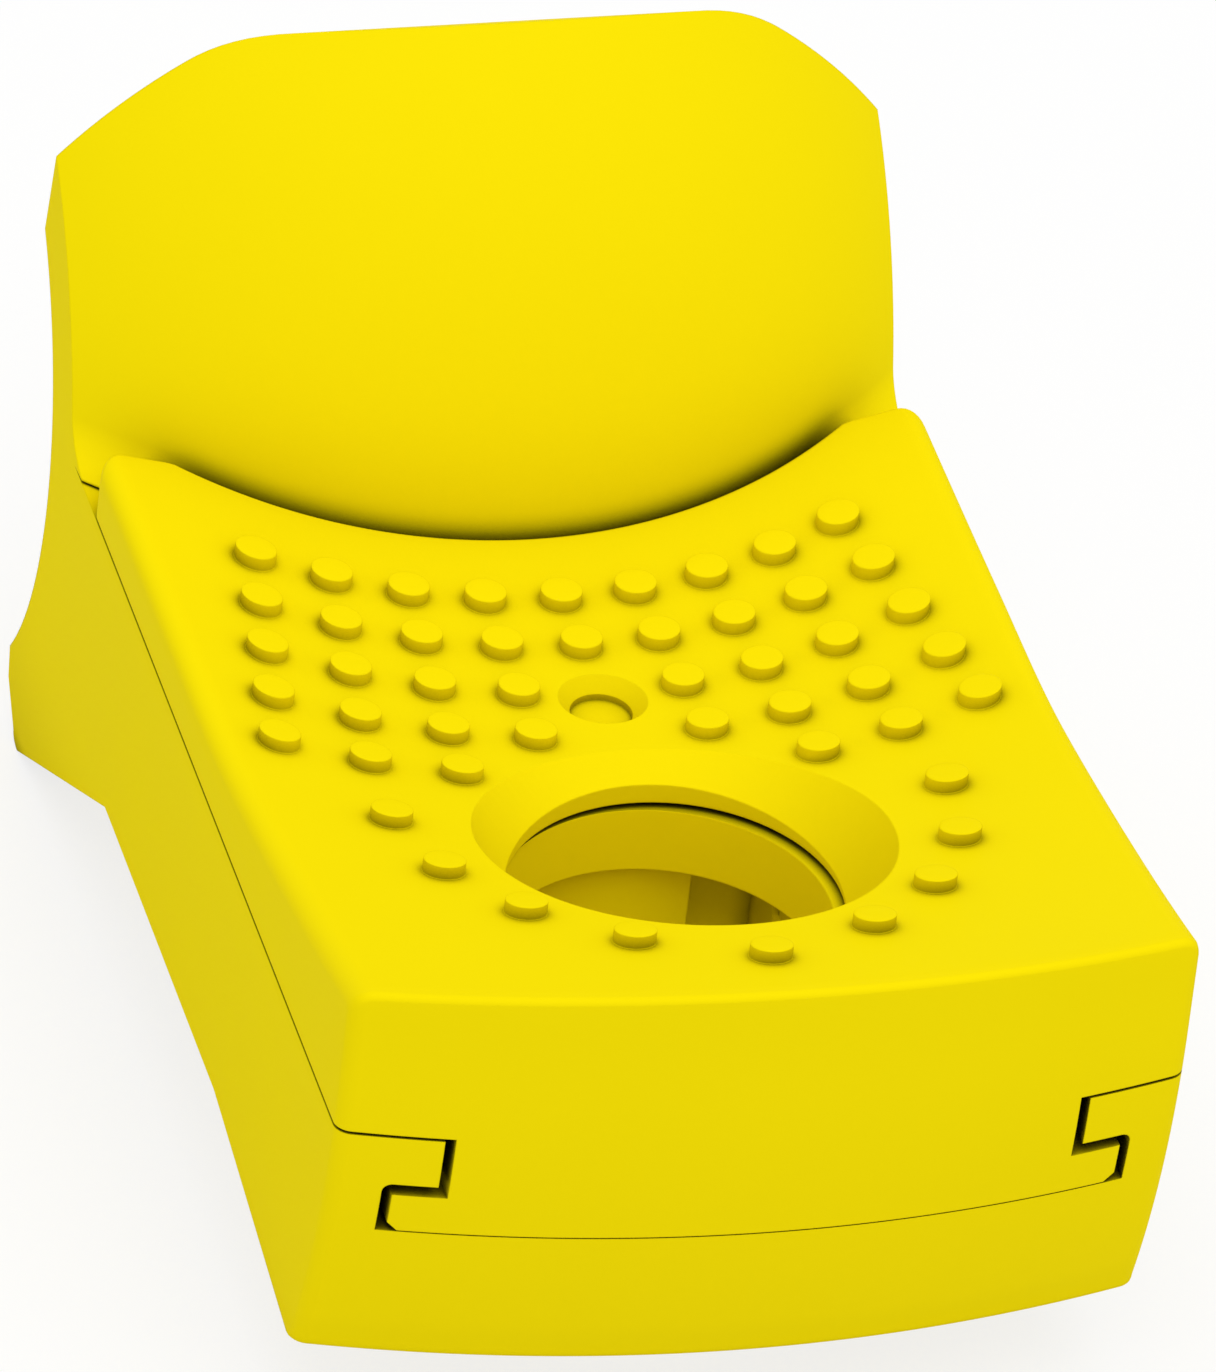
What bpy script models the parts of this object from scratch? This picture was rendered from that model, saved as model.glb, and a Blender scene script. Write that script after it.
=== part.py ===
"""Sliding lock-off hasp for a circuit breaker's handle, modelled in Blender 4.5.

A moulded base with an upright rear shield carries a moulded slide cover on
dovetail rails. Closed, the padlock hole of the cover stands over the padlock
hole of the base. The cover hides a captive clamp screw that raises a toothed
jaw. Lengths are in millimetres in this file and are turned to metres where
the meshes are made.

Local frame: X across, +Y to the rear (towards the shield), +Z up. Y = 0 is
the cover's front corner and Z = 0 is the parting plane between cover and base.
The empty lockoff_origin moves this frame so that the world's origin is the
middle of the bounding box, on its underside.
"""

from math import cos, pi, radians, sin, sqrt

import bmesh
import bpy
from mathutils import Matrix, Vector

MM = 0.001
BIG = 60.0

# Overall sizes
HALF_WIDTH = 12.5
COVER_LENGTH = 31.0
BASE_DEPTH = 7.5
NOSE_EXTRA_DEPTH = 1.5
NOSE_START_Y = 12.25
FRONT_BOW_RADIUS = 43.0
FRONT_LEAN_RADIUS = 27.8
FRONT_LEAN_TOP = 1.5
CORNER_ROUND = 0.9
FRONT_CORNER_ROUND = 0.4
SIDE_TOP_ROUND = 0.7

# Scooped top of the cover
TOP_LEVEL = 0.27
TOP_SLOPE = 0.275
TOP_KNEE_Y = 16.0
TOP_KNEE_SOFTNESS = 3.7
TROUGH_FRONT = 0.0008
TROUGH_REAR = 0.0093
TROUGH_RIM = 0.000011
TROUGH_FRONT_Y = -2.0
TROUGH_LENGTH = 24.0

# Clearances
SLIDE_GAP = 0.2
SHIELD_GAP = 0.3
RAIL_SIDE_GAP = 0.3
SEAT_GAP = 0.2
STOP_GAP = 0.3
RUNNING_GAP = 0.08

# Dovetail rails
RAIL_WALL = 1.47
RAIL_LIP_REACH = 1.54
RAIL_LIP_DEPTH = 1.77
GROOVE_HALF = HALF_WIDTH - RAIL_WALL
RAIL_LIP_HALF = GROOVE_HALF - RAIL_LIP_REACH
GROOVE_DEPTH = 3.64
FLANGE_TOP_GAP = 0.4
FLANGE_CHAMFER = 0.3

# Deck between the rails and the cover's channel over it
DECK_HALF = 6.2
DECK_TOP_Z = -0.53
DECK_FRONT_Y = 3.9
DECK_THICK = 2.12
DECK_SIDE = 1.2
COVER_ROOF_Z = DECK_TOP_Z + SLIDE_GAP

# Padlock hole and the small countersunk hole
LOCK_HOLE_Y = 10.15
LOCK_HOLE_RADIUS = 4.95
LOCK_CHAMFER_WIDTH = 1.15
LOCK_CHAMFER_FRONT = 0.6
LOCK_SINK_SIDE_Z = -0.2
LOCK_SINK_REAR_Z = 0.3
BASE_HOLE_SHIFT = -0.25
BASE_HOLE_STEP = 0.07
BASE_HOLE_RADIUS = LOCK_HOLE_RADIUS - BASE_HOLE_STEP
SMALL_HOLE_Y = 19.1
SMALL_HOLE_RADIUS = 0.92
SMALL_SINK_WIDTH = 0.4
SMALL_SINK_DEPTH = 0.48
SMALL_HOLE_FLOOR = 0.15

# Grip studs
STUD_RADIUS = 0.62
STUD_HEIGHT = 0.42
STUD_SINK = 0.5
STUD_SIDES = 10
FAN_CENTRE_Y = 78.0
FAN_STEP = radians(2.41)
ROW_CENTRE_Y = 44.9
ROW_FIRST_RADIUS = 20.7
ROW_PITCH = 2.43
ROW_COUNT = 5
ROW_HALF_COUNT = 4
ARC_MARGIN = 1.67
ARC_RADIUS = LOCK_HOLE_RADIUS + LOCK_CHAMFER_WIDTH + ARC_MARGIN
ARC_SWELL = 1.25
ARC_NEAREST = radians(-30.0)
ARC_STEP = radians(25.375)
ARC_HALF_COUNT = 4

# Shield: a shell turned about a vertical axis behind the part
SHIELD_AXIS_Y = 44.7
SHIELD_THROAT = 17.05
SHIELD_PROFILE_RADIUS = 20.0
SHIELD_WAIST_Z = -3.2
SHIELD_THICK = 1.5
SHIELD_TOP_Z = 11.7
SHIELD_TOP_SLOPE = radians(32.5)
SHIELD_TRIM_Y = 38.68
SHIELD_TRIM_Z = 4.5
SHIELD_TRIM_LEAN = radians(7.8)

# Rear foot below the base
FOOT_START_Y = 26.2
FOOT_TIP_Y = 35.9
FOOT_TIP_Z = -12.4
FOOT_HEEL_Y = 37.6
FOOT_HEEL_Z = -10.9

# Hollows in the underside
WALL = 3.0
BAY_HALF = HALF_WIDTH - WALL
BAY_FRONT_Y = 4.9
BAY_REAR_Y = 15.6
DIVIDER = 3.0
POCKET_REAR_Y = 26.2
RAIL_FLOOR = 1.5
RECESS_X = 2.2
RECESS_DEPTH = 2.2
POCKET_FRONT_Y = BAY_REAR_Y + DIVIDER

# Clamp
TRAVEL = 12.0
SCREW_Y = 23.2
SCREW_RADIUS = 1.5
SCREW_HEAD_STEP = 1.0
SCREW_HEAD_RADIUS = SCREW_RADIUS + SCREW_HEAD_STEP
SCREW_HEAD_HEIGHT = 1.05
HEX_RADIUS = 1.2
HEX_DEPTH = 0.8
JAW_HALF = 4.4
JAW_FRONT_GAP = 0.3
JAW_FRONT_Y = POCKET_FRONT_Y + JAW_FRONT_GAP
JAW_REAR_Y = POCKET_REAR_Y - SEAT_GAP
JAW_INSET = 0.3
JAW_LOW_Z = JAW_INSET - BASE_DEPTH
SCREW_END_Z = JAW_LOW_Z
JAW_THICK = 1.5
JAW_LIP_HALF = 2.7
JAW_LIP_LENGTH = 1.5
JAW_LIP_HEIGHT = 0.7
JAW_TEETH = 3
PAD_THICK = 0.6
RING_WIDTH = 0.72
RING_RADIUS = SCREW_RADIUS + RUNNING_GAP + RING_WIDTH
RING_THICK = 0.4
PLATE_HALF = 5.0
PLATE_LENGTH = 1.5
PLATE_THICK = 0.6
PLATE_SCREW_X = 4.0
PLATE_SCREW_Y = POCKET_FRONT_Y + SEAT_GAP + PLATE_LENGTH / 2.0
PLATE_SCREW_RADIUS = 0.5
PLATE_SCREW_HEAD_RADIUS = 0.8
PLATE_SCREW_HEAD = 0.35
PLATE_SCREW_LENGTH = 1.1
PIN_X = (DECK_HALF + GROOVE_HALF) / 2.0
PIN_Y = 8.0
PIN_RADIUS = 0.75
PIN_RISE = 0.9
PIN_SINK = 1.0

YELLOW = (0.93, 0.83, 0.004)
STEEL = (0.62, 0.63, 0.65)
BLACK = (0.03, 0.03, 0.03)

ROUND_SIDES = 48
SMALL_SIDES = 24

ORIGIN_NAME = "lockoff_origin"


# ---------------------------------------------------------------- shapes as functions


def smoothstep(value):
    """Eased value between 0 and 1."""
    value = min(max(value, 0.0), 1.0)
    return value * value * (3.0 - 2.0 * value)


def round_drop(distance, radius):
    """How far a round of this radius lies inside its corner, at a distance from the corner."""
    inside = radius - distance
    if inside <= 0.0:
        return 0.0
    return radius - sqrt(max(radius * radius - inside * inside, 0.0))


def front_y(x, z):
    """Front face: bowed across the width, leaning back below FRONT_LEAN_TOP."""
    bow = (x * x - HALF_WIDTH * HALF_WIDTH) / (2.0 * FRONT_BOW_RADIUS)
    below = max(FRONT_LEAN_TOP - z, 0.0)
    corner = round_drop(HALF_WIDTH - abs(x), FRONT_CORNER_ROUND)
    return bow + below * below / (2.0 * FRONT_LEAN_RADIUS) + corner


def top_z(x, y):
    """Scooped top of the cover: a knee along Y and a trough across X that fades to the front."""
    ahead = TOP_KNEE_Y - y
    knee = 0.5 * TOP_SLOPE * (sqrt(ahead * ahead + TOP_KNEE_SOFTNESS**2) + ahead)
    ease = smoothstep((y - TROUGH_FRONT_Y) / TROUGH_LENGTH)
    trough = TROUGH_FRONT + (TROUGH_REAR - TROUGH_FRONT) * ease
    return TOP_LEVEL + knee + trough * x * x + TROUGH_RIM * ease * x**4


def shield_radius(z, offset=0.0):
    """Radius of the turned shield at a height; offset moves it towards the axis."""
    arm = SHIELD_PROFILE_RADIUS - offset
    rise = z - SHIELD_WAIST_Z
    centre = SHIELD_THROAT - SHIELD_PROFILE_RADIUS
    return centre + sqrt(max(arm * arm - rise * rise, 0.0))


def cover_rear_y(x):
    """Rear edge of the cover: an arc that follows the shield, and straight ends."""
    radius = shield_radius(0.0) + SHIELD_GAP
    arc = SHIELD_AXIS_Y - sqrt(radius * radius - x * x)
    straight = COVER_LENGTH - round_drop(HALF_WIDTH - abs(x), CORNER_ROUND)
    return min(arc, straight)


# ---------------------------------------------------------------- mesh helpers


def clear_scene():
    for item in list(bpy.data.objects):
        bpy.data.objects.remove(item, do_unlink=True)


def material(name, colour, roughness, metallic=0.0):
    made = bpy.data.materials.new(name)
    made.use_nodes = True
    shader = made.node_tree.nodes["Principled BSDF"]
    shader.inputs["Base Color"].default_value = (*colour, 1.0)
    shader.inputs["Roughness"].default_value = roughness
    shader.inputs["Metallic"].default_value = metallic
    return made


def object_from(name, corners, faces, origin=(0.0, 0.0, 0.0)):
    """Mesh object from points in millimetres; its origin is moved to origin."""
    mesh = bpy.data.meshes.new(name)
    moved = [(Vector(corner) - Vector(origin)) * MM for corner in corners]
    mesh.from_pydata(moved, [], faces)
    made = bpy.data.objects.new(name, mesh)
    made.location = Vector(origin) * MM
    made.parent = bpy.data.objects[ORIGIN_NAME]
    bpy.context.scene.collection.objects.link(made)
    work = bmesh.new()
    work.from_mesh(mesh)
    bmesh.ops.remove_doubles(work, verts=work.verts, dist=1e-7)
    bmesh.ops.recalc_face_normals(work, faces=work.faces)
    work.to_mesh(mesh)
    work.free()
    return made


def skin(name, rings, origin=(0.0, 0.0, 0.0), closed=False):
    """Solid skinned through rings of equal length; closed joins the last ring to the first."""
    count = len(rings[0])
    corners = [corner for ring in rings for corner in ring]
    faces = []
    spans = len(rings) if closed else len(rings) - 1
    for i in range(spans):
        here = i * count
        there = ((i + 1) % len(rings)) * count
        for j in range(count):
            k = (j + 1) % count
            faces.append((here + j, here + k, there + k, there + j))
    if not closed:
        faces.append(tuple(range(count)))
        faces.append(tuple(range(len(corners) - count, len(corners))))
    return object_from(name, corners, faces, origin)


def extrude_x(name, outline, low, high, origin=(0.0, 0.0, 0.0)):
    """Outline of (y, z) points, extruded along X."""
    return skin(name, [[(x, y, z) for y, z in outline] for x in (low, high)], origin)


def extrude_y(name, outline, low, high, origin=(0.0, 0.0, 0.0)):
    """Outline of (x, z) points, extruded along Y."""
    return skin(name, [[(x, y, z) for x, z in outline] for y in (low, high)], origin)


def box(name, low, high, origin=(0.0, 0.0, 0.0)):
    outline = [(low[1], low[2]), (high[1], low[2]), (high[1], high[2]), (low[1], high[2])]
    return extrude_x(name, outline, low[0], high[0], origin)


def rod(name, centre, radius, low, high, sides=SMALL_SIDES, origin=None):
    return stacked(name, centre, [(radius, low), (radius, high)], sides, pi / sides, origin)


def stacked(name, centre, levels, sides=SMALL_SIDES, turn=0.0, origin=None):
    """Solid of round rings given as (radius, z), from bottom to top."""
    rings = []
    for radius, z in levels:
        ring = []
        for i in range(sides):
            angle = 2.0 * pi * i / sides + turn
            ring.append((centre[0] + radius * cos(angle), centre[1] + radius * sin(angle), z))
        rings.append(ring)
    return skin(name, rings, origin or (centre[0], centre[1], 0.0))


def hide_tool(tool):
    tool.hide_render = True
    tool.display_type = "WIRE"
    return tool


def combine(target, tool, operation, name):
    """Exact Boolean with a hidden helper."""
    hide_tool(tool)
    modifier = target.modifiers.new(name, "BOOLEAN")
    modifier.operation = operation
    modifier.solver = "EXACT"
    modifier.object = tool
    return target


def cut(target, tool):
    return combine(target, tool, "DIFFERENCE", "cut " + tool.name)


def add(target, tool):
    return combine(target, tool, "UNION", "add " + tool.name)


def keep_inside(target, tool):
    return combine(target, tool, "INTERSECT", "keep " + tool.name)


def finish(made, surface, smooth_angle=radians(35.0)):
    made.data.materials.clear()
    made.data.materials.append(surface)
    made.data.shade_smooth()
    made.data.set_sharp_from_angle(angle=smooth_angle)
    return made


# ---------------------------------------------------------------- cover


def cover_stations():
    """X places of the cover's sections, closer where the edges are rounded."""
    inner = HALF_WIDTH - CORNER_ROUND
    rounds = [inner + CORNER_ROUND * sin(radians(a)) for a in (22.0, 45.0, 67.0)]
    half = [inner * i / 11.0 for i in range(1, 12)] + rounds + [HALF_WIDTH]
    return [-x for x in reversed(half)] + [0.0] + half


def cover_section(x):
    """Closed (y, z) outline of the cover at x, from the front foot round over the top."""
    low = -GROOVE_DEPTH + SLIDE_GAP
    rear = cover_rear_y(x)
    drop = round_drop(HALF_WIDTH - abs(x), SIDE_TOP_ROUND)
    front = []
    for i in range(5):
        z = low + (top_z(x, 0.0) - drop - FRONT_CORNER_ROUND - low) * i / 4.0
        front.append((front_y(x, z), z))
    top = []
    start = front[-1][0] + FRONT_CORNER_ROUND
    for i in range(25):
        y = start + (rear - FRONT_CORNER_ROUND - start) * i / 24.0
        top.append((y, top_z(x, y) - drop))
    last = top[-1][1]
    back = [(rear, last - FRONT_CORNER_ROUND), (rear, low)]
    return front + top + back


def dovetail_side(sign):
    """Outline of the space beside the cover's neck and flange, on one side."""
    neck = RAIL_LIP_HALF - RAIL_SIDE_GAP
    flange = GROOVE_HALF - RAIL_SIDE_GAP
    flange_top = -RAIL_LIP_DEPTH - FLANGE_TOP_GAP
    low = -GROOVE_DEPTH + SLIDE_GAP
    skirt = SLIDE_GAP / 2.0
    outline = [
        (BIG, skirt),
        (neck, skirt),
        (neck, flange_top),
        (flange, flange_top),
        (flange, low + FLANGE_CHAMFER),
        (flange - FLANGE_CHAMFER, low),
        (flange - FLANGE_CHAMFER, -BIG),
        (BIG, -BIG),
    ]
    return [(sign * x, z) for x, z in outline]


def stud_places():
    """Centres of the grip studs: five fanned rows and an arc round the padlock hole."""
    places = []
    for row in range(ROW_COUNT):
        radius = ROW_FIRST_RADIUS + ROW_PITCH * row
        for column in range(-ROW_HALF_COUNT, ROW_HALF_COUNT + 1):
            lean = FAN_STEP * column
            reach = FAN_CENTRE_Y - (ROW_CENTRE_Y - radius)
            x = reach * sin(lean)
            x = (FAN_CENTRE_Y - ROW_CENTRE_Y + sqrt(radius * radius - x * x)) * sin(lean) / cos(lean)
            y = ROW_CENTRE_Y - sqrt(radius * radius - x * x)
            room = LOCK_HOLE_RADIUS + LOCK_CHAMFER_WIDTH + STUD_RADIUS
            near_lock = sqrt(x * x + (y - LOCK_HOLE_Y) ** 2) < room
            near_small = sqrt(x * x + (y - SMALL_HOLE_Y) ** 2) < SMALL_HOLE_RADIUS + ROW_PITCH * 0.5
            if near_lock or near_small or (column == 0 and row > 1):
                continue
            places.append((x, y))
    for i in range(-ARC_HALF_COUNT, ARC_HALF_COUNT + 1):
        angle = -pi / 2.0 + ARC_STEP * abs(i)
        radius = ARC_RADIUS + ARC_SWELL * (angle - ARC_NEAREST) ** 2
        side = 1.0 if i > 0 else -1.0
        places.append((side * radius * cos(angle), LOCK_HOLE_Y + radius * sin(angle)))
    return places


def studs():
    """All the studs as one helper: separate short cylinders standing out of the top."""
    corners, faces = [], []
    for x, y in stud_places():
        level = top_z(x, y)
        first = len(corners)
        for z in (level - STUD_SINK, level + STUD_HEIGHT):
            for i in range(STUD_SIDES):
                angle = 2.0 * pi * i / STUD_SIDES
                corners.append((x + STUD_RADIUS * cos(angle), y + STUD_RADIUS * sin(angle), z))
        for i in range(STUD_SIDES):
            k = (i + 1) % STUD_SIDES
            faces.append((first + i, first + k, first + STUD_SIDES + k, first + STUD_SIDES + i))
        faces.append(tuple(range(first, first + STUD_SIDES)))
        faces.append(tuple(range(first + STUD_SIDES, first + 2 * STUD_SIDES)))
    return object_from("studs", corners, faces)


def lock_sink_z(angle):
    """Inner edge of the padlock hole's countersink: high at the rear, low at the sides."""
    rise = LOCK_SINK_REAR_Z - LOCK_SINK_SIDE_Z
    return LOCK_SINK_SIDE_Z + rise * ((1.0 + sin(angle)) / 2.0) ** 3


def small_sink_z(angle):
    """Inner edge of the small hole's countersink, level all round."""
    return top_z(0.0, SMALL_HOLE_Y) - SMALL_SINK_DEPTH


def sunk_hole(name, centre_y, radius, width, front, inner_z, floor=-BIG):
    """Cutter of a round hole with a countersink whose rim follows the cover's top."""
    sides = ROUND_SIDES if radius > 2.0 else SMALL_SIDES
    over = 0.3
    rings = [[], [], [], [], []]
    for i in range(sides):
        angle = 2.0 * pi * (i + 0.5) / sides
        inner = inner_z(angle)
        wide = radius + width + front * max(-sin(angle), 0.0) ** 2
        rim = top_z(wide * cos(angle), centre_y + wide * sin(angle))
        beyond = wide + over * width
        lift = over * (rim - inner)
        levels = [(radius, floor), (radius, inner), (wide, rim), (beyond, rim + lift), (beyond, BIG)]
        for ring, (across, z) in zip(rings, levels):
            ring.append((across * cos(angle), centre_y + across * sin(angle), z))
    return skin(name, rings, (0.0, centre_y, 0.0))


def make_cover(surface):
    rings = [[(x, y, z) for y, z in cover_section(x)] for x in cover_stations()]
    cover = skin("slide_cover", rings)
    for sign, side in ((-1.0, "left"), (1.0, "right")):
        cut(cover, extrude_y("cover_dovetail_" + side, dovetail_side(sign), -BIG, BIG))
    channel = DECK_HALF + RAIL_SIDE_GAP
    wall_y = DECK_FRONT_Y - SLIDE_GAP
    cut(cover, box("cover_channel", (-channel, wall_y, -BIG), (channel, BIG, COVER_ROOF_Z)))
    for sign, side in ((-1.0, "left"), (1.0, "right")):
        half = PIN_RADIUS + STOP_GAP
        low = (sign * PIN_X - half, PIN_Y - half, -BIG)
        high = (sign * PIN_X + half, PIN_Y + TRAVEL + half, -GROOVE_DEPTH + PIN_RISE + STOP_GAP)
        cut(cover, box("cover_stop_slot_" + side, low, high))
    add(cover, studs())
    width, front = LOCK_CHAMFER_WIDTH, LOCK_CHAMFER_FRONT
    cut(cover, sunk_hole("cover_lock", LOCK_HOLE_Y, LOCK_HOLE_RADIUS, width, front, lock_sink_z))
    width = SMALL_SINK_WIDTH
    floor = COVER_ROOF_Z + SMALL_HOLE_FLOOR
    cut(cover, sunk_hole("cover_small", SMALL_HOLE_Y, SMALL_HOLE_RADIUS, width, 0.0, small_sink_z, floor))
    return finish(cover, surface)


# ---------------------------------------------------------------- base


def nose_z():
    return -BASE_DEPTH - NOSE_EXTRA_DEPTH


def base_section(x):
    """Closed (y, z) outline of the base's block at x."""
    top = -SLIDE_GAP / 2.0
    drop = FRONT_CORNER_ROUND
    front = []
    for i in range(7):
        z = nose_z() + drop + (top - nose_z() - drop) * i / 6.0
        front.append((front_y(x, z), z))
    toe = (front_y(x, nose_z()) + drop, nose_z())
    under = [
        (FOOT_HEEL_Y + 2.0, top),
        (FOOT_HEEL_Y, FOOT_HEEL_Z),
        (FOOT_TIP_Y + 0.6, FOOT_TIP_Z + 0.35),
        (FOOT_TIP_Y, FOOT_TIP_Z),
        (FOOT_START_Y, -BASE_DEPTH),
        (NOSE_START_Y, -BASE_DEPTH),
    ]
    return front + under + [toe]


def base_stations():
    inner = HALF_WIDTH - FRONT_CORNER_ROUND
    rounds = [inner + FRONT_CORNER_ROUND * sin(radians(a)) for a in (30.0, 60.0)]
    half = [inner * i / 8.0 for i in range(1, 9)] + rounds + [HALF_WIDTH]
    return [-x for x in reversed(half)] + [0.0] + half


def shield_solid(name, offset, low, high):
    """Solid turned about the shield's axis, moved in or out by an offset."""
    levels = []
    steps = 14
    for i in range(steps + 1):
        z = low + (high - low) * i / steps
        levels.append((shield_radius(z, offset), z))
    return stacked(name, (0.0, SHIELD_AXIS_Y), levels, 96, pi / 96.0)


def groove_outline(sign):
    """Space in the base for one side of the cover, between deck and rail."""
    inner = DECK_HALF
    outline = [
        (inner, BIG),
        (inner, -GROOVE_DEPTH),
        (GROOVE_HALF, -GROOVE_DEPTH),
        (GROOVE_HALF, -RAIL_LIP_DEPTH),
        (RAIL_LIP_HALF, -RAIL_LIP_DEPTH),
        (RAIL_LIP_HALF, BIG),
    ]
    return [(sign * x, z) for x, z in outline]


def hollow_outline(floor, roof, inner):
    """Hollow in the underside: wide below the grooves' floor, narrower up under the deck."""
    half = [(BAY_HALF, -BIG), (BAY_HALF, floor), (inner, floor), (inner, roof)]
    return half + [(-x, z) for x, z in reversed(half)]


def shield_shell(high):
    """The turned shield, trimmed by its sides, its leaning rear plane and its sloping top."""
    shell = shield_solid("shield_outer", 0.0, FOOT_TIP_Z + 3.0, high)
    slope = sin(SHIELD_TOP_SLOPE) / cos(SHIELD_TOP_SLOPE)
    lean = sin(SHIELD_TRIM_LEAN) / cos(SHIELD_TRIM_LEAN)
    top_corner_y = SHIELD_TRIM_Y - lean * (SHIELD_TOP_Z - SHIELD_TRIM_Z)
    near_y = SHIELD_AXIS_Y - SHIELD_PROFILE_RADIUS
    outline = [
        (near_y, FOOT_TIP_Z + 2.0),
        (SHIELD_TRIM_Y, FOOT_TIP_Z + 2.0),
        (SHIELD_TRIM_Y, SHIELD_TRIM_Z),
        (top_corner_y, SHIELD_TOP_Z),
        (near_y, SHIELD_TOP_Z + slope * (top_corner_y - near_y)),
    ]
    keep_inside(shell, extrude_x("shield_trim", outline, -HALF_WIDTH, HALF_WIDTH))
    return shell


def make_base(surface):
    rings = [[(x, y, z) for y, z in base_section(x)] for x in base_stations()]
    base = skin("base_housing", rings)
    for sign, side in ((-1.0, "left"), (1.0, "right")):
        cut(base, extrude_y("base_groove_" + side, groove_outline(sign), -BIG, COVER_LENGTH + 3.0))
    wide = DECK_HALF + 0.05
    cut(base, box("base_front_step", (-wide, -BIG, -GROOVE_DEPTH), (wide, DECK_FRONT_Y, BIG)))
    cut(base, box("base_deck_top", (-wide, -BIG, DECK_TOP_Z), (wide, COVER_LENGTH + 3.0, BIG)))
    add(base, shield_shell(16.0))
    cut(base, shield_solid("shield_inner", SHIELD_THICK, -BIG / 4.0, 14.9))
    floor = -GROOVE_DEPTH - RAIL_FLOOR
    roof = DECK_TOP_Z - DECK_THICK
    deck_inner = DECK_HALF - DECK_SIDE
    pocket_y = POCKET_FRONT_Y
    cut(base, extrude_y("bay", hollow_outline(floor, roof, deck_inner), BAY_FRONT_Y, BAY_REAR_Y))
    cut(base, extrude_y("pocket", hollow_outline(floor, roof, deck_inner), pocket_y, POCKET_REAR_Y))
    recess_high = roof - 0.1
    low = (RECESS_X, BAY_REAR_Y - 0.5, -BIG)
    high = (deck_inner - 0.2, BAY_REAR_Y + RECESS_DEPTH, recess_high)
    cut(base, box("recess", low, high))
    cut(base, rod("base_lock_hole", (BASE_HOLE_SHIFT, LOCK_HOLE_Y), BASE_HOLE_RADIUS, -BIG, BIG, ROUND_SIDES))
    head = SCREW_HEAD_RADIUS + SEAT_GAP
    head_low = DECK_TOP_Z - SCREW_HEAD_HEIGHT - SEAT_GAP
    cut(base, rod("screw_recess", (0.0, SCREW_Y), head, head_low, BIG))
    cut(base, rod("screw_hole", (0.0, SCREW_Y), SCREW_RADIUS + RUNNING_GAP, -BIG, BIG))
    for sign, side in ((-1.0, "left"), (1.0, "right")):
        place = (sign * PIN_X, PIN_Y)
        low = -GROOVE_DEPTH - PIN_SINK - SEAT_GAP / 2.0
        cut(base, rod("pin_hole_" + side, place, PIN_RADIUS + SEAT_GAP, low, -RAIL_LIP_DEPTH - 0.1))
        place = (sign * PLATE_SCREW_X, PLATE_SCREW_Y)
        high = roof + PLATE_SCREW_LENGTH + SEAT_GAP
        cut(base, rod("plate_screw_hole_" + side, place, PLATE_SCREW_RADIUS + SEAT_GAP, roof - 1.0, high))
    return finish(base, surface)


# ---------------------------------------------------------------- clamp and small hardware


def make_screw(surface):
    """Captive screw: cylinder head with a hexagon socket, plain shank."""
    top = DECK_TOP_Z - SEAT_GAP / 2.0
    head = top - SCREW_HEAD_HEIGHT
    levels = [
        (SCREW_RADIUS - 0.3, SCREW_END_Z),
        (SCREW_RADIUS, SCREW_END_Z + 0.3),
        (SCREW_RADIUS, head),
        (SCREW_HEAD_RADIUS, head),
        (SCREW_HEAD_RADIUS, top - 0.2),
        (SCREW_HEAD_RADIUS - 0.2, top),
    ]
    screw = stacked("clamp_screw", (0.0, SCREW_Y), levels, SMALL_SIDES, pi / SMALL_SIDES)
    cut(screw, rod("hex_socket", (0.0, SCREW_Y), HEX_RADIUS, top - HEX_DEPTH, top + 1.0, 6))
    return finish(screw, surface)


def ring_z():
    """Top of the retaining ring under the deck."""
    return DECK_TOP_Z - DECK_THICK - SEAT_GAP


def make_ring(surface):
    """Open retaining ring round the screw's shank."""
    inner = SCREW_RADIUS + RUNNING_GAP
    gap = radians(35.0)
    rings = []
    steps = 20
    for i in range(steps + 1):
        angle = pi / 2.0 + gap + (2.0 * pi - 2.0 * gap) * i / steps
        ring = []
        for radius, z in ((inner, 0.0), (RING_RADIUS, 0.0), (RING_RADIUS, -RING_THICK), (inner, -RING_THICK)):
            ring.append((radius * cos(angle), SCREW_Y + radius * sin(angle), ring_z() + z))
        rings.append(ring)
    return finish(skin("retaining_ring", rings), surface)


def make_jaw(surface):
    """Jaw that the screw raises: a plate with a toothed lip at its front."""
    top = JAW_LOW_Z + JAW_THICK
    outline = [(JAW_FRONT_Y, JAW_LOW_Z), (JAW_REAR_Y, JAW_LOW_Z), (JAW_REAR_Y, top), (JAW_FRONT_Y, top)]
    joint = (0.0, SCREW_Y, 0.0)
    jaw = extrude_x("clamp_jaw", outline, -JAW_HALF, JAW_HALF, joint)
    start = JAW_FRONT_Y
    end = JAW_FRONT_Y + JAW_LIP_LENGTH
    pitch = JAW_LIP_LENGTH / JAW_TEETH
    lip = [(start, top - 0.4)]
    for i in range(JAW_TEETH):
        lip.append((start + pitch * i, top + JAW_LIP_HEIGHT * 0.4))
        lip.append((start + pitch * (i + 0.5), top + JAW_LIP_HEIGHT))
    lip.append((end, top + JAW_LIP_HEIGHT * 0.4))
    lip.append((end, top - 0.4))
    add(jaw, extrude_x("jaw_lip", lip, -JAW_LIP_HALF, JAW_LIP_HALF))
    cut(jaw, rod("jaw_hole", (0.0, SCREW_Y), SCREW_RADIUS + RUNNING_GAP, -BIG, BIG))
    return finish(jaw, surface)


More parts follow.
